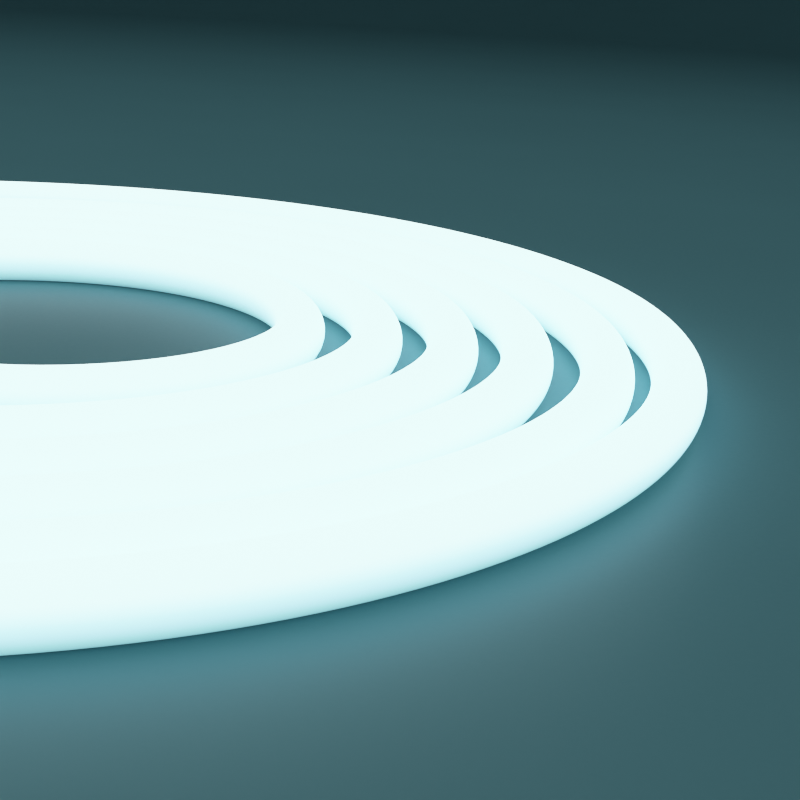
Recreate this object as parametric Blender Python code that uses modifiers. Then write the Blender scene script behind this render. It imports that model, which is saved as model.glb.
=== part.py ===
"""Flexible round LED tube light, laid flat on the floor in an open spiral of loose turns.

Metres, +Z up. The floor is at Z = 0 and the coil stands centred over the origin.
"""

import math

import bpy
from mathutils import Vector

COLLECTION_NAME = "led_strip_light"

# The light tube: one round silicone extrusion, cut to a stock length
TUBE_DIAMETER = 0.014
TUBE_LENGTH = 5.0
TUBE_BEVEL_RESOLUTION = 4
TUBE_SIDES = 4 + 2 * TUBE_BEVEL_RESOLUTION

# The spiral: the first turn's radius on the +X side, then the clear gap that each turn starts with
FIRST_TURN_RADIUS = 0.0816
TURN_GAPS = (0.00735, 0.0068, 0.0061, 0.0072, 0.00155)
START_TURN = -0.33
POINTS_PER_TURN = 48
WALK_STEP = 0.002

# The free ends spring away from the coil, by this much for one turn squared.
# Over its last stretch, and not before its level turn, the outer end bends back to the coil's own curve
OUTER_FLARE_TURN = 4.807
OUTER_FLARE = 0.145
LEVEL_TURN = 5.27
LEVEL_TURNS = 0.198
LEVEL_RATE = 6.0
INNER_TUCK_TURN = 0.009
INNER_TUCK = 0.144

# Both end caps slip over the tube
CAP_WALL = 0.0012
FIT_GAP = 0.0003
CAP_OVERLAP = 0.012
CAP_END = 0.004
CAP_CHAMFER = 0.0012
CAP_STEPS = 32
LIFT_RUN = 0.03

# The feed cap ends in a round inlet with two contact pins
INLET_RADIUS = 0.0065
INLET_LENGTH = 0.012
INLET_WALL = 0.0015
INLET_DEPTH = 0.011
PIN_RADIUS = 0.0007
PIN_LENGTH = 0.005
PIN_SPACING = 0.0042
PIN_VERTICES = 16

TUBE_RADIUS = TUBE_DIAMETER / 2
TUBE_CORNER_RADIUS = TUBE_RADIUS / math.cos(math.pi / TUBE_SIDES)
CAP_BORE_RADIUS = (TUBE_CORNER_RADIUS + FIT_GAP) / math.cos(math.pi / CAP_STEPS)
CAP_RADIUS = CAP_BORE_RADIUS + CAP_WALL
CAP_LENGTH = CAP_OVERLAP + FIT_GAP + CAP_END
END_STRAIGHT = CAP_OVERLAP + FIT_GAP


def clear_scene():
    for obj in list(bpy.data.objects):
        bpy.data.objects.remove(obj, do_unlink=True)


def make_collection():
    collection = bpy.data.collections.new(COLLECTION_NAME)
    bpy.context.scene.collection.children.link(collection)
    return collection


def make_material(name, color, roughness, metallic=0.0, glow=0.0):
    material = bpy.data.materials.new(name)
    material.use_nodes = True
    shader = material.node_tree.nodes["Principled BSDF"]
    shader.inputs["Base Color"].default_value = (*color, 1.0)
    shader.inputs["Roughness"].default_value = roughness
    shader.inputs["Metallic"].default_value = metallic
    shader.inputs["Emission Color"].default_value = (*color, 1.0)
    shader.inputs["Emission Strength"].default_value = glow
    return material


def laid_radius(turn):
    """Radius on the coil as it was laid, from the tube's width and the gaps between its turns."""
    radius = FIRST_TURN_RADIUS
    whole = max(0, min(int(turn), len(TURN_GAPS) - 1))
    for gap in TURN_GAPS[:whole]:
        radius += TUBE_DIAMETER + gap
    return radius + (turn - whole) * (TUBE_DIAMETER + TURN_GAPS[whole])


def spiral_point(turn, level_turn=math.inf):
    levelled = LEVEL_RATE * max(0.0, turn - level_turn) ** 2
    flare = OUTER_FLARE * (max(0.0, turn - OUTER_FLARE_TURN) ** 2 - levelled)
    tuck = INNER_TUCK * max(0.0, INNER_TUCK_TURN - turn) ** 2
    radius = laid_radius(turn) + flare - tuck
    angle = 2 * math.pi * turn
    return Vector((radius * math.cos(angle), radius * math.sin(angle), 0.0))


def last_turn(level_turn=math.inf):
    """How far round the outer end lies, walked in small steps until the whole length is used."""
    turn = START_TURN
    left = TUBE_LENGTH - 2 * END_STRAIGHT
    while left > 0:
        step = spiral_point(turn + WALK_STEP, level_turn) - spiral_point(turn, level_turn)
        left -= step.length
        turn += WALK_STEP
    return turn


def coil_route():
    """Points along the tube's centreline: the spiral, and a straight length in each cap."""
    level_turn = max(LEVEL_TURN, last_turn() - LEVEL_TURNS)
    turns = last_turn(level_turn) - START_TURN
    count = math.ceil(turns * POINTS_PER_TURN)
    stops = [START_TURN + turns * index / count for index in range(count + 1)]
    points = [spiral_point(stop, level_turn) for stop in stops]
    inward = (points[0] - points[1]).normalized()
    outward = (points[-1] - points[-2]).normalized()
    return [points[0] + inward * END_STRAIGHT, *points, points[-1] + outward * END_STRAIGHT]


def smooth_step(value):
    value = max(0.0, min(1.0, value))
    return value * value * (3 - 2 * value)


def lift_route(points):
    """Raises the tube to rest on the floor, and its two ends to the middle of the thicker caps."""
    walked = [0.0]
    for before, after in zip(points, points[1:]):
        walked.append(walked[-1] + (after - before).length)
    lifted = []
    for point, distance in zip(points, walked):
        from_end = min(distance, walked[-1] - distance)
        in_cap = smooth_step(1 - (from_end - END_STRAIGHT) / LIFT_RUN)
        height = TUBE_RADIUS + (CAP_RADIUS - TUBE_RADIUS) * in_cap
        lifted.append(Vector((point.x, point.y, height)))
    return lifted


def make_tube(points, collection, parent):
    curve = bpy.data.curves.new("diffuser_tube", "CURVE")
    curve.dimensions = "3D"
    curve.twist_mode = "Z_UP"
    curve.bevel_depth = TUBE_CORNER_RADIUS
    curve.bevel_resolution = TUBE_BEVEL_RESOLUTION
    curve.use_fill_caps = True
    spline = curve.splines.new("POLY")
    spline.points.add(len(points) - 1)
    for knot, point in zip(spline.points, points):
        knot.co = (*point, 1.0)
        knot.tilt = math.pi / TUBE_SIDES
    tube = bpy.data.objects.new("diffuser_tube", curve)
    tube.parent = parent
    tube.data.materials.append(make_material("silicone_diffuser", (0.86, 0.98, 1.0), 0.45, glow=4.0))
    collection.objects.link(tube)
    return tube


def make_turned(name, profile, collection, parent):
    """A solid turned about its own Z from a profile that runs down its outer side."""
    mesh = bpy.data.meshes.new(name)
    edges = [(index, index + 1) for index in range(len(profile) - 1)]
    mesh.from_pydata([(radius, 0.0, height) for radius, height in profile], edges, [])
    solid = bpy.data.objects.new(name, mesh)
    solid.parent = parent
    collection.objects.link(solid)
    screw = solid.modifiers.new("turn", "SCREW")
    screw.steps = CAP_STEPS
    screw.render_steps = CAP_STEPS
    screw.use_merge_vertices = True
    screw.merge_threshold = 0.00001
    return solid


def sleeve_profile():
    """The part of a cap's profile that grips the tube, from its outer edge to the bore's floor."""
    return [
        (CAP_RADIUS, CAP_LENGTH - CAP_CHAMFER),
        (CAP_RADIUS, 0.0),
        (CAP_BORE_RADIUS, 0.0),
        (CAP_BORE_RADIUS, CAP_OVERLAP + FIT_GAP),
        (0.0, CAP_OVERLAP + FIT_GAP),
    ]


def tail_profile():
    face = [(0.0, CAP_LENGTH), (CAP_RADIUS - CAP_CHAMFER, CAP_LENGTH)]
    return face + sleeve_profile()


def feed_profile():
    top = CAP_LENGTH + INLET_LENGTH
    hole_radius = INLET_RADIUS - INLET_WALL
    inlet = [
        (0.0, top - INLET_DEPTH),
        (hole_radius, top - INLET_DEPTH),
        (hole_radius, top),
        (INLET_RADIUS, top),
        (INLET_RADIUS, CAP_LENGTH),
        (CAP_RADIUS - CAP_CHAMFER, CAP_LENGTH),
    ]
    return inlet + sleeve_profile()


def place_on_end(solid, end, inner):
    """Slips a cap over the tube's end, with its mouth towards the tube."""
    outward = (end - inner).normalized()
    solid.rotation_mode = "QUATERNION"
    solid.rotation_quaternion = outward.to_track_quat("Z", "Y")
    solid.location = end - outward * CAP_OVERLAP


def make_pin(name, side, feed_cap, collection):
    floor = CAP_LENGTH + INLET_LENGTH - INLET_DEPTH
    middle = floor + FIT_GAP + PIN_LENGTH / 2
    bpy.ops.mesh.primitive_cylinder_add(vertices=PIN_VERTICES, radius=PIN_RADIUS, depth=PIN_LENGTH)
    pin = bpy.context.object
    pin.name = name
    pin.data.name = name
    pin.location = (side * PIN_SPACING / 2, 0.0, middle)
    pin.parent = feed_cap
    for owner in list(pin.users_collection):
        owner.objects.unlink(pin)
    collection.objects.link(pin)
    pin.data.materials.append(make_material(name, (0.80, 0.62, 0.30), 0.25, metallic=1.0))
    return pin


def make_caps(points, collection, parent):
    silicone = (0.80, 0.86, 0.87)
    tail_cap = make_turned("tail_cap", tail_profile(), collection, parent)
    tail_cap.data.materials.append(make_material("tail_cap", silicone, 0.5))
    place_on_end(tail_cap, points[-1], points[-2])
    feed_cap = make_turned("feed_cap", feed_profile(), collection, parent)
    feed_cap.data.materials.append(make_material("feed_cap", silicone, 0.5))
    place_on_end(feed_cap, points[0], points[1])
    pin_a = make_pin("feed_pin_a", -1, feed_cap, collection)
    pin_b = make_pin("feed_pin_b", 1, feed_cap, collection)
    return [tail_cap, feed_cap, pin_a, pin_b]


def centre_on_origin(objects, parent):
    """Moves the parent so that the whole object's box is centred over the origin."""
    bpy.context.view_layer.update()
    graph = bpy.context.evaluated_depsgraph_get()
    corners = []
    for obj in objects:
        evaluated = obj.evaluated_get(graph)
        mesh = evaluated.to_mesh()
        corners += [evaluated.matrix_world @ vertex.co for vertex in mesh.vertices]
        evaluated.to_mesh_clear()
    for axis in (0, 1):
        values = [corner[axis] for corner in corners]
        parent.location[axis] = -(min(values) + max(values)) / 2


def main():
    clear_scene()
    collection = make_collection()
    coil = bpy.data.objects.new("coil", None)
    collection.objects.link(coil)
    points = lift_route(coil_route())
    tube = make_tube(points, collection, coil)
    caps = make_caps(points, collection, coil)
    centre_on_origin([tube, *caps], coil)


main()
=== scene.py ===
"""Looks of the coiled LED tube light: a milky silicone tube that glows cool white, with its two end caps.

Metres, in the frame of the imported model. The floor is at Z = 0.
"""

import math

import bpy
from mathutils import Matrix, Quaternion, Vector


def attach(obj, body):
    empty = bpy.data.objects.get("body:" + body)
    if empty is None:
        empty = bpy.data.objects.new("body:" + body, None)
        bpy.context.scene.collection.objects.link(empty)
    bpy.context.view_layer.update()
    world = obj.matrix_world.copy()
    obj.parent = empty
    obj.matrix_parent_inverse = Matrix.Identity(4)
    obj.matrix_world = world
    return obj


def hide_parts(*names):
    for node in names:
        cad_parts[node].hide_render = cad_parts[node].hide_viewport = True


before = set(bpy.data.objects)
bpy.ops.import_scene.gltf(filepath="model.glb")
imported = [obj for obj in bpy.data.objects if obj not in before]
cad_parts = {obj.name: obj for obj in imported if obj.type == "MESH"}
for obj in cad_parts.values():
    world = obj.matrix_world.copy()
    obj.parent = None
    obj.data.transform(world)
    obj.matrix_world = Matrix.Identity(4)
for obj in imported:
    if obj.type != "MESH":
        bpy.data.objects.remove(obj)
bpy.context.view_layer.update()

# The light tube and its spiral, as the CAD has them
TUBE_DIAMETER = 0.014
TUBE_RADIUS = TUBE_DIAMETER / 2
TUBE_LENGTH = 5.0
FIRST_TURN_RADIUS = 0.0816
TURN_GAPS = (0.00735, 0.0068, 0.0061, 0.0072, 0.00155)
START_TURN = -0.33
WALK_STEP = 0.002
FINE_STEP = WALK_STEP / 20
OUTER_FLARE_TURN = 4.807
OUTER_FLARE = 0.145
LEVEL_TURN = 5.27
LEVEL_RATE = 6.0
INNER_TUCK_TURN = 0.009
INNER_TUCK = 0.144
COIL_CENTRE = Vector((0.015366, -0.018698, 0.0))

# The end caps, as the CAD has them
CAP_RADIUS = 0.0087834
CAP_BORE_RADIUS = 0.0075834
CAP_OVERLAP = 0.012
CAP_LENGTH = 0.0163
FIT_GAP = 0.0003
END_STRAIGHT = CAP_OVERLAP + FIT_GAP
LIFT_RUN = 0.03
INLET_RADIUS = 0.0065
INLET_LENGTH = 0.012
INLET_WALL = 0.0015
INLET_DEPTH = 0.011
PIN_RADIUS = 0.0007
PIN_LENGTH = 0.005
PIN_SPACING = 0.0042

# How finely the tube is made
RING_SPACING = 0.005
RING_SIDES = 48
TURNED_STEPS = 96

# The end caps' details: shallow rings to grip them by, rounded edges and the mould's gate
CORNER_STEPS = 4
CORNER_SHARE = 0.45
EDGE_ROUNDING = 0.0004
END_ROUNDING = 0.0012
GRIP_RINGS = 4
GRIP_DEPTH = 0.0003
GRIP_SLOPE = 0.0003
GRIP_WIDTH = 0.0015
GRIP_PITCH = 0.0027
RING_MARGIN = 0.0042
GATE_RADIUS = 0.0014
GATE_DEPTH = 0.0004
INLET_LEDGE = 0.0015
LEDGE_WIDTH = 0.0004
INLET_LIP = 0.002
PIN_NECK = 0.00058
PIN_SHOULDER = 0.001
PIN_TIP_SHARE = 0.75

# The studio: a round floor that sweeps up into a backdrop, and its lights
SWEEP_FLAT = 3.0
SWEEP_RADIUS = 1.5
SWEEP_HEIGHT = 4.0
SWEEP_STEPS = 24
SWEEP_SIDES = 96
FLOOR_COLOR = (0.10, 0.215, 0.24)
FLOOR_CLOUD_SCALE = 6.0
FLOOR_CLOUD_LIFT = 1.04
FLOOR_CLOUD_EDGES = (0.3, 0.7)
FLOOR_GRAIN_SCALE = 700.0
FLOOR_ROUGHNESS = (0.45, 0.55)
FLOOR_SPECULAR = 0.28
FLOOR_SPECULAR_TINT = (0.4, 0.9, 1.0, 1.0)
ROOM_MIDDLE = (0, 0, 0)
OVERHEAD_PLACE = (-0.1, 0.1, 1.6)
OVERHEAD_SIZE = 1.6
OVERHEAD_POWER = 12.0
OVERHEAD_COLOR = (0.88, 0.97, 1.0)
FRONT_PLACE = (-0.8, -1.4, 1.2)
FRONT_SIZE = 1.0
FRONT_POWER = 4.0
FRONT_COLOR = (1.0, 1.0, 1.0)
WORLD_COLOR = (0.85, 0.95, 1.0, 1.0)
WORLD_STRENGTH = 0.22

# The fine grain of every surface: how much of the bump shows and how much detail the noise has
BUMP_STRENGTH = 0.6
NOISE_DETAIL = 3.0

# The tube's own surface, under its light
TUBE_COLOR = (0.58, 0.68, 0.70, 1.0)
TUBE_GRAIN_SCALE = 900.0
TUBE_GRAIN_DEPTH = 0.00005
TUBE_ROUGHNESS = (0.42, 0.6)

# The tube's own glow, with painted shade round its underside: less and bluer light by which way its
# surface faces, from straight down at 0 to straight up at 1
GLOW_STRENGTH = 4.0
GLOW_AND_SHADE_STOPS = (
    (0.00, (0.002, 0.01, 0.012)),
    (0.04, (0.06, 0.13, 0.15)),
    (0.22, (0.17, 0.32, 0.35)),
    (0.35, (0.29, 0.46, 0.56)),
    (0.48, (0.40, 0.62, 0.75)),
    (0.60, (0.60, 0.80, 0.95)),
    (0.72, (0.90, 0.95, 1.00)),
    (1.00, (1.00, 1.00, 1.00)),
)

# The caps' moulded silicone: two shades of it in soft clouds, and how far light goes into it
CAP_SHADES = ((0.3, (0.60, 0.66, 0.67)), (0.7, (0.72, 0.78, 0.79)))
CAP_CLOUD_SCALE = 140.0
CAP_GRAIN_SCALE = 2500.0
CAP_GRAIN_DEPTH = 0.00006
CAP_ROUGHNESS = (0.4, 0.62)
CAP_SUBSURFACE = 0.3
CAP_LIGHT_REACH = 0.002
BLEED_STRENGTH = 1.0

# The light that bleeds into a cap from the tube, from its mouth at 0 to its end face at 1
BLEED_STOPS = (
    (0.00, (0.30, 0.44, 0.48)),
    (0.40, (0.16, 0.26, 0.29)),
    (0.75, (0.08, 0.15, 0.17)),
    (1.00, (0.01, 0.02, 0.02)),
)

# The pins' brass, from tarnished to clean
BRASS_SHADES = ((0.35, (0.55, 0.38, 0.16)), (0.65, (0.83, 0.63, 0.30)))
TARNISH_SCALE = 1500.0
TARNISH_DEPTH = 0.00002
BRASS_ROUGHNESS = (0.18, 0.4)

# The camera's tone: the brightest red, green and blue that the picture reaches
TONE_LIMITS = (0.847, 0.982, 0.973)
TONE_RANGE = 6.0
TONE_STEPS = 16

# The photograph's camera, measured from the coil's centre on the floor
PHOTO_SIDE = 800
SENSOR_WIDTH = 36.0
FOCAL_LENGTH = 1340.4
CAMERA_DISTANCE = 0.38339
CAMERA_ELEVATION = 0.2653
CAMERA_ROLL = 0.0588
CAMERA_TARGET = Vector((0.09649, -0.05782, 0.0))
NEAREST_SEEN = 0.01
FURTHEST_SEEN = 20.0


def laid_radius(turn):
    """Radius on the coil as it was laid, from the tube's width and the gaps between its turns."""
    radius = FIRST_TURN_RADIUS
    whole = max(0, min(int(turn), len(TURN_GAPS) - 1))
    for gap in TURN_GAPS[:whole]:
        radius += TUBE_DIAMETER + gap
    return radius + (turn - whole) * (TUBE_DIAMETER + TURN_GAPS[whole])


def spiral_point(turn):
    levelled = LEVEL_RATE * max(0.0, turn - LEVEL_TURN) ** 2
    flare = OUTER_FLARE * (max(0.0, turn - OUTER_FLARE_TURN) ** 2 - levelled)
    tuck = INNER_TUCK * max(0.0, INNER_TUCK_TURN - turn) ** 2
    radius = laid_radius(turn) + flare - tuck
    angle = 2 * math.pi * turn
    return COIL_CENTRE + Vector((radius * math.cos(angle), radius * math.sin(angle), 0.0))


def spiral_points():
    """Points on the spiral a ring's spacing apart, walked outwards until the whole length is used."""
    points = [spiral_point(START_TURN)]
    turn = START_TURN
    left = TUBE_LENGTH - 2 * END_STRAIGHT
    while left > RING_SPACING / 2:
        step = WALK_STEP
        while (spiral_point(turn + step) - points[-1]).length < RING_SPACING:
            step += FINE_STEP
        turn += step
        left -= (spiral_point(turn) - points[-1]).length
        points.append(spiral_point(turn))
    return points


def smooth_step(value):
    value = max(0.0, min(1.0, value))
    return value * value * (3 - 2 * value)


def tube_route():
    """The tube's centreline, with a straight length in each cap and both ends raised to the caps."""
    points = spiral_points()
    inward = (points[0] - points[1]).normalized()
    outward = (points[-1] - points[-2]).normalized()
    points = [points[0] + inward * END_STRAIGHT, *points, points[-1] + outward * END_STRAIGHT]
    walked = [0.0]
    for before, after in zip(points, points[1:]):
        walked.append(walked[-1] + (after - before).length)
    for point, distance in zip(points, walked):
        from_end = min(distance, walked[-1] - distance)
        in_cap = smooth_step(1 - (from_end - END_STRAIGHT) / LIFT_RUN)
        point.z = TUBE_RADIUS + (CAP_RADIUS - TUBE_RADIUS) * in_cap
    return points


def make_camera():
    back = Vector((0.0, -math.cos(CAMERA_ELEVATION), math.sin(CAMERA_ELEVATION)))
    place = COIL_CENTRE + back * CAMERA_DISTANCE
    forward = (COIL_CENTRE + CAMERA_TARGET - place).normalized()
    data = bpy.data.cameras.new("camera")
    data.sensor_width = SENSOR_WIDTH
    data.lens = FOCAL_LENGTH / PHOTO_SIDE * SENSOR_WIDTH
    data.clip_start = NEAREST_SEEN
    data.clip_end = FURTHEST_SEEN
    camera = bpy.data.objects.new("camera", data)
    camera.location = place
    camera.rotation_mode = "QUATERNION"
    level = forward.to_track_quat("-Z", "Y")
    camera.rotation_quaternion = Quaternion(forward, -CAMERA_ROLL) @ level
    bpy.context.scene.collection.objects.link(camera)
    bpy.context.scene.camera = camera


def link_mesh(name, vertices, faces):
    mesh = bpy.data.meshes.new(name)
    mesh.from_pydata(vertices, [], faces)
    mesh.shade_smooth()
    piece = bpy.data.objects.new(name, mesh)
    bpy.context.scene.collection.objects.link(piece)
    return piece


def make_tube(route):
    """A round tube along the route, with a ring of vertices at each of its points."""
    vertices = []
    faces = []
    for index, point in enumerate(route):
        before = route[max(index - 1, 0)]
        after = route[min(index + 1, len(route) - 1)]
        along = (after - before).normalized()
        side = along.cross(Vector((0.0, 0.0, 1.0))).normalized()
        up = side.cross(along)
        for step in range(RING_SIDES):
            angle = 2 * math.pi * step / RING_SIDES
            vertices.append(point + TUBE_RADIUS * (math.cos(angle) * side + math.sin(angle) * up))
    for ring in range(len(route) - 1):
        start = ring * RING_SIDES
        for step in range(RING_SIDES):
            other = (step + 1) % RING_SIDES
            faces.append((start + step, start + RING_SIDES + step,
                          start + RING_SIDES + other, start + other))
    faces.append(tuple(range(RING_SIDES)))
    last = (len(route) - 1) * RING_SIDES
    faces.append(tuple(last + step for step in reversed(range(RING_SIDES))))
    return link_mesh("light_tube", vertices, faces)


def rounded(profile, radius):
    """The profile with each inner corner turned into an arc, as wide as its neighbours leave room for."""
    points = [Vector(profile[0])]
    for before, corner, after in zip(profile, profile[1:], profile[2:]):
        before, corner, after = Vector(before), Vector(corner), Vector(after)
        back = before - corner
        ahead = after - corner
        reach = min(radius, back.length * CORNER_SHARE, ahead.length * CORNER_SHARE)
        start = corner + back.normalized() * reach
        end = corner + ahead.normalized() * reach
        for step in range(CORNER_STEPS + 1):
            part = step / CORNER_STEPS
            points.append(start.lerp(corner, part).lerp(corner.lerp(end, part), part))
    return points + [Vector(profile[-1])]


def make_turned(name, profile, place, outward):
    """A solid turned about the outward direction, from a profile that starts and ends on its axis."""
    turn = outward.to_track_quat("Z", "Y")
    vertices = []
    faces = []
    for radius, height in profile[1:-1]:
        for step in range(TURNED_STEPS):
            angle = 2 * math.pi * step / TURNED_STEPS
            spot = Vector((radius * math.cos(angle), radius * math.sin(angle), height))
            vertices.append(place + turn @ spot)
    for ring in range(len(profile) - 3):
        start = ring * TURNED_STEPS
        for step in range(TURNED_STEPS):
            other = (step + 1) % TURNED_STEPS
            faces.append((start + step, start + TURNED_STEPS + step,
                          start + TURNED_STEPS + other, start + other))
    first = len(vertices)
    vertices.append(place + turn @ Vector((0.0, 0.0, profile[0][1])))
    vertices.append(place + turn @ Vector((0.0, 0.0, profile[-1][1])))
    last_ring = (len(profile) - 3) * TURNED_STEPS
    for step in range(TURNED_STEPS):
        other = (step + 1) % TURNED_STEPS
        faces.append((first, step, other))
        faces.append((first + 1, last_ring + other, last_ring + step))
    solid = link_mesh(name, vertices, faces)
    along = solid.data.attributes.new("along", "FLOAT", "POINT")
    heights = [height for radius, height in profile[1:-1] for step in range(TURNED_STEPS)]
    for value, height in zip(along.data, [*heights, profile[0][1], profile[-1][1]]):
        value.value = height / CAP_LENGTH
    return solid


def grip_rings():
    """The sleeve's outer side from its end face to its mouth, with shallow rings to grip it by."""
    side = []
    height = CAP_LENGTH - RING_MARGIN
    for ring in range(GRIP_RINGS):
        side.append((CAP_RADIUS, height))
        side.append((CAP_RADIUS - GRIP_DEPTH, height - GRIP_SLOPE))
        side.append((CAP_RADIUS - GRIP_DEPTH, height - GRIP_WIDTH + GRIP_SLOPE))
        side.append((CAP_RADIUS, height - GRIP_WIDTH))
        height -= GRIP_PITCH
    return side


def sleeve_profile():
    inside = [
        (CAP_RADIUS, 0.0),
        (CAP_BORE_RADIUS, 0.0),
        (CAP_BORE_RADIUS, CAP_OVERLAP + FIT_GAP),
        (0.0, CAP_OVERLAP + FIT_GAP),
    ]
    return grip_rings() + inside


def make_tail_cap(place, outward):
    face = [
        (0.0, CAP_LENGTH - GATE_DEPTH),
        (GATE_RADIUS, CAP_LENGTH - GATE_DEPTH),
        (GATE_RADIUS, CAP_LENGTH),
        (CAP_RADIUS - END_ROUNDING, CAP_LENGTH),
        (CAP_RADIUS, CAP_LENGTH - END_ROUNDING),
    ]
    profile = rounded(face + sleeve_profile(), EDGE_ROUNDING)
    return make_turned("closed_end_cap", profile, place, outward)


def make_feed_cap(place, outward):
    top = CAP_LENGTH + INLET_LENGTH
    hole = INLET_RADIUS - INLET_WALL
    inlet = [
        (0.0, top - INLET_DEPTH),
        (hole, top - INLET_DEPTH),
        (hole, top - INLET_LEDGE),
        (hole + LEDGE_WIDTH, top - INLET_LEDGE),
        (hole + LEDGE_WIDTH, top),
        (INLET_RADIUS, top),
        (INLET_RADIUS, top - INLET_LIP),
        (INLET_RADIUS - GRIP_DEPTH, top - INLET_LIP - GRIP_SLOPE),
        (INLET_RADIUS - GRIP_DEPTH, CAP_LENGTH + INLET_LIP),
        (INLET_RADIUS, CAP_LENGTH),
        (CAP_RADIUS - END_ROUNDING, CAP_LENGTH),
        (CAP_RADIUS, CAP_LENGTH - END_ROUNDING),
    ]
    profile = rounded(inlet + sleeve_profile(), EDGE_ROUNDING)
    return make_turned("feed_end_cap", profile, place, outward)


def make_pin(name, side, mouth, outward):
    """A contact pin with a rounded tip and a shoulder at its foot, in place of the plain one."""
    inlet_floor = CAP_LENGTH + INLET_LENGTH - INLET_DEPTH + FIT_GAP
    turn = outward.to_track_quat("Z", "Y")
    foot = mouth + turn @ Vector((side * PIN_SPACING / 2, 0.0, inlet_floor))
    profile = [
        (0.0, PIN_LENGTH),
        (PIN_RADIUS * PIN_TIP_SHARE, PIN_LENGTH),
        (PIN_NECK, PIN_LENGTH - PIN_RADIUS),
        (PIN_NECK, PIN_SHOULDER),
        (PIN_RADIUS, PIN_SHOULDER),
        (PIN_RADIUS, 0.0),
        (0.0, 0.0),
    ]
    return make_turned(name, rounded(profile, PIN_RADIUS / 2), foot, outward)


def make_floor():
    """A round studio floor that sweeps up into its own backdrop on all sides."""
    outline = [(SWEEP_FLAT, 0.0)]
    for step in range(1, SWEEP_STEPS + 1):
        angle = math.pi / 2 * step / SWEEP_STEPS
        outline.append((SWEEP_FLAT + SWEEP_RADIUS * math.sin(angle),
                        SWEEP_RADIUS * (1 - math.cos(angle))))
    outline.append((outline[-1][0], SWEEP_HEIGHT))
    vertices = []
    for radius, height in outline:
        for side in range(SWEEP_SIDES):
            angle = 2 * math.pi * side / SWEEP_SIDES
            vertices.append((radius * math.cos(angle), radius * math.sin(angle), height))
    faces = [tuple(range(SWEEP_SIDES))]
    for ring in range(len(outline) - 1):
        start = ring * SWEEP_SIDES
        for side in range(SWEEP_SIDES):
            other = (side + 1) % SWEEP_SIDES
            faces.append((start + side, start + SWEEP_SIDES + side,
                          start + SWEEP_SIDES + other, start + other))
    floor = link_mesh("floor", vertices, faces)
    return floor


def new_material(name):
    material = bpy.data.materials.new(name)
    material.use_nodes = True
    return material, material.node_tree.nodes, material.node_tree.links


def add_noise(nodes, links, scale):
    """Noise in the object's own metres."""
    place = nodes.new("ShaderNodeTexCoord")
    noise = nodes.new("ShaderNodeTexNoise")
    noise.inputs["Scale"].default_value = scale
    noise.inputs["Detail"].default_value = NOISE_DETAIL
    links.new(place.outputs["Object"], noise.inputs["Vector"])
    return noise


def add_roughness(nodes, links, noise, limits):
    low, high = limits
    spread = nodes.new("ShaderNodeMapRange")
    spread.inputs["To Min"].default_value = low
    spread.inputs["To Max"].default_value = high
    links.new(noise.outputs["Fac"], spread.inputs["Value"])
    links.new(spread.outputs["Result"], nodes["Principled BSDF"].inputs["Roughness"])


def add_bump(nodes, links, noise, depth):
    bump = nodes.new("ShaderNodeBump")
    bump.inputs["Strength"].default_value = BUMP_STRENGTH
    bump.inputs["Distance"].default_value = depth
    links.new(noise.outputs["Fac"], bump.inputs["Height"])
    links.new(bump.outputs["Normal"], nodes["Principled BSDF"].inputs["Normal"])


def fill_ramp(ramp, stops):
    elements = ramp.color_ramp.elements
    while len(elements) < len(stops):
        elements.new(0.5)
    for element, (position, color) in zip(elements, stops):
        element.position = position
        element.color = (*color, 1.0)


def glow_and_shade_material():
    """Milky silicone, lit from inside: full light above, with painted shade round the underside, where
    its light is less and bluer.
    """
    material, nodes, links = new_material("milky_silicone_glow_and_shade")
    shader = nodes["Principled BSDF"]
    shader.inputs["Base Color"].default_value = TUBE_COLOR
    shader.inputs["Emission Strength"].default_value = GLOW_STRENGTH
    place = nodes.new("ShaderNodeTexCoord")
    split = nodes.new("ShaderNodeSeparateXYZ")
    height = nodes.new("ShaderNodeMapRange")
    height.inputs["From Min"].default_value = -1.0
    ramp = nodes.new("ShaderNodeValToRGB")
    fill_ramp(ramp, GLOW_AND_SHADE_STOPS)
    links.new(place.outputs["Normal"], split.inputs["Vector"])
    links.new(split.outputs["Z"], height.inputs["Value"])
    links.new(height.outputs["Result"], ramp.inputs["Fac"])
    # Painted shade: the glow is dimmed and made bluer wherever the surface faces down
    links.new(ramp.outputs["Color"], shader.inputs["Emission Color"])
    grain = add_noise(nodes, links, TUBE_GRAIN_SCALE)
    add_roughness(nodes, links, grain, TUBE_ROUGHNESS)
    add_bump(nodes, links, grain, TUBE_GRAIN_DEPTH)
    return material


def cap_material():
    """Moulded silicone of the end caps: milky, with a fine grain, lit a little by the tube inside."""
    material, nodes, links = new_material("moulded_silicone")
    shader = nodes["Principled BSDF"]
    shader.inputs["Subsurface Weight"].default_value = CAP_SUBSURFACE
    shader.inputs["Subsurface Radius"].default_value = (1.0, 1.0, 1.0)
    shader.inputs["Subsurface Scale"].default_value = CAP_LIGHT_REACH
    cloud = add_noise(nodes, links, CAP_CLOUD_SCALE)
    ramp = nodes.new("ShaderNodeValToRGB")
    fill_ramp(ramp, CAP_SHADES)
    links.new(cloud.outputs["Fac"], ramp.inputs["Fac"])
    links.new(ramp.outputs["Color"], shader.inputs["Base Color"])
    along = nodes.new("ShaderNodeAttribute")
    along.attribute_name = "along"
    bleed = nodes.new("ShaderNodeValToRGB")
    fill_ramp(bleed, BLEED_STOPS)
    shader.inputs["Emission Strength"].default_value = BLEED_STRENGTH
    links.new(along.outputs["Fac"], bleed.inputs["Fac"])
    links.new(bleed.outputs["Color"], shader.inputs["Emission Color"])
    grain = add_noise(nodes, links, CAP_GRAIN_SCALE)
    add_roughness(nodes, links, grain, CAP_ROUGHNESS)
    add_bump(nodes, links, grain, CAP_GRAIN_DEPTH)
    return material


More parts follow.
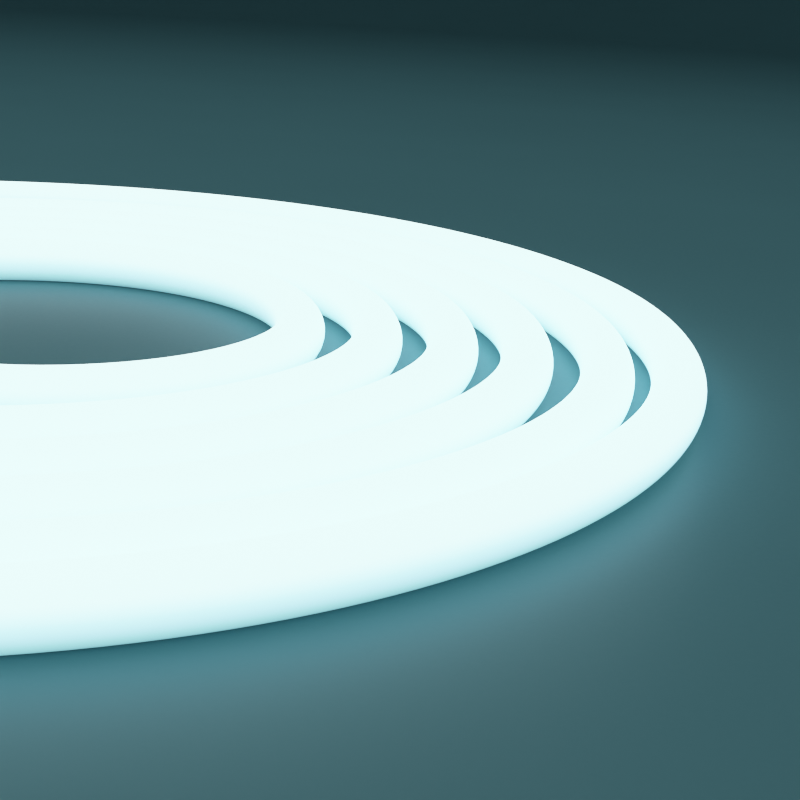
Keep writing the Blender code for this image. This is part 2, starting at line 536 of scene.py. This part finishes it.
def pin_material():
    """Turned brass with light tool marks and a little tarnish."""
    material, nodes, links = new_material("turned_brass")
    shader = nodes["Principled BSDF"]
    shader.inputs["Metallic"].default_value = 1.0
    tarnish = add_noise(nodes, links, TARNISH_SCALE)
    ramp = nodes.new("ShaderNodeValToRGB")
    fill_ramp(ramp, BRASS_SHADES)
    links.new(tarnish.outputs["Fac"], ramp.inputs["Fac"])
    links.new(ramp.outputs["Color"], shader.inputs["Base Color"])
    add_roughness(nodes, links, tarnish, BRASS_ROUGHNESS)
    add_bump(nodes, links, tarnish, TARNISH_DEPTH)
    return material


def floor_material():
    material, nodes, links = new_material("pale_floor")
    shader = nodes["Principled BSDF"]
    shader.inputs["Specular IOR Level"].default_value = FLOOR_SPECULAR
    shader.inputs["Specular Tint"].default_value = FLOOR_SPECULAR_TINT
    cloud = add_noise(nodes, links, FLOOR_CLOUD_SCALE)
    ramp = nodes.new("ShaderNodeValToRGB")
    lifted = tuple(FLOOR_CLOUD_LIFT * part for part in FLOOR_COLOR)
    fill_ramp(ramp, tuple(zip(FLOOR_CLOUD_EDGES, (FLOOR_COLOR, lifted))))
    links.new(cloud.outputs["Fac"], ramp.inputs["Fac"])
    links.new(ramp.outputs["Color"], shader.inputs["Base Color"])
    grain = add_noise(nodes, links, FLOOR_GRAIN_SCALE)
    add_roughness(nodes, links, grain, FLOOR_ROUGHNESS)
    return material


def add_area_light(name, place, size, power, color):
    data = bpy.data.lights.new(name, "AREA")
    data.shape = "SQUARE"
    data.size = size
    data.energy = power
    data.color = color
    light = bpy.data.objects.new(name, data)
    light.location = place
    light.rotation_mode = "QUATERNION"
    aim = Vector(ROOM_MIDDLE) - Vector(place)
    light.rotation_quaternion = aim.to_track_quat("-Z", "Y")
    bpy.context.scene.collection.objects.link(light)


def make_lights():
    add_area_light("overhead", OVERHEAD_PLACE, OVERHEAD_SIZE, OVERHEAD_POWER, OVERHEAD_COLOR)
    add_area_light("front", FRONT_PLACE, FRONT_SIZE, FRONT_POWER, FRONT_COLOR)
    world = bpy.data.worlds.new("studio")
    world.use_nodes = True
    background = world.node_tree.nodes["Background"]
    background.inputs["Color"].default_value = WORLD_COLOR
    background.inputs["Strength"].default_value = WORLD_STRENGTH
    bpy.context.scene.world = world


def set_tone():
    """A camera's response to bright light: each channel bends over softly to its own limit."""
    view = bpy.context.scene.view_settings
    view.view_transform = "Standard"
    view.use_curve_mapping = True
    mapping = view.curve_mapping
    mapping.clip_max_x = TONE_RANGE
    mapping.clip_max_y = 1.0
    for curve, limit in zip(mapping.curves, TONE_LIMITS):
        curve.points[-1].location = (TONE_RANGE, limit * (1 - math.exp(-TONE_RANGE)))
        for step in range(1, TONE_STEPS):
            light = TONE_RANGE * (step / TONE_STEPS) ** 2
            curve.points.new(light, limit * (1 - math.exp(-light)))
        for point in curve.points:
            point.handle_type = "AUTO_CLAMPED"
    mapping.update()


def dress(piece, node, material):
    piece.data.materials.append(material)
    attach(piece, "root")
    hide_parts(node)


make_camera()
route = tube_route()
tube = make_tube(route)
dress(tube, "diffuser_tube", glow_and_shade_material())
feed_outward = (route[0] - route[1]).normalized()
feed_mouth = route[0] - feed_outward * CAP_OVERLAP
tail_outward = (route[-1] - route[-2]).normalized()
tail_mouth = route[-1] - tail_outward * CAP_OVERLAP
silicone = cap_material()
tail_cap = make_tail_cap(tail_mouth, tail_outward)
dress(tail_cap, "tail_cap", silicone)
feed_cap = make_feed_cap(feed_mouth, feed_outward)
dress(feed_cap, "feed_cap", silicone)
brass = pin_material()
pin_a = make_pin("contact_pin_a", -1, feed_mouth, feed_outward)
dress(pin_a, "feed_pin_a", brass)
pin_b = make_pin("contact_pin_b", 1, feed_mouth, feed_outward)
dress(pin_b, "feed_pin_b", brass)
make_floor().data.materials.append(floor_material())
make_lights()
set_tone()
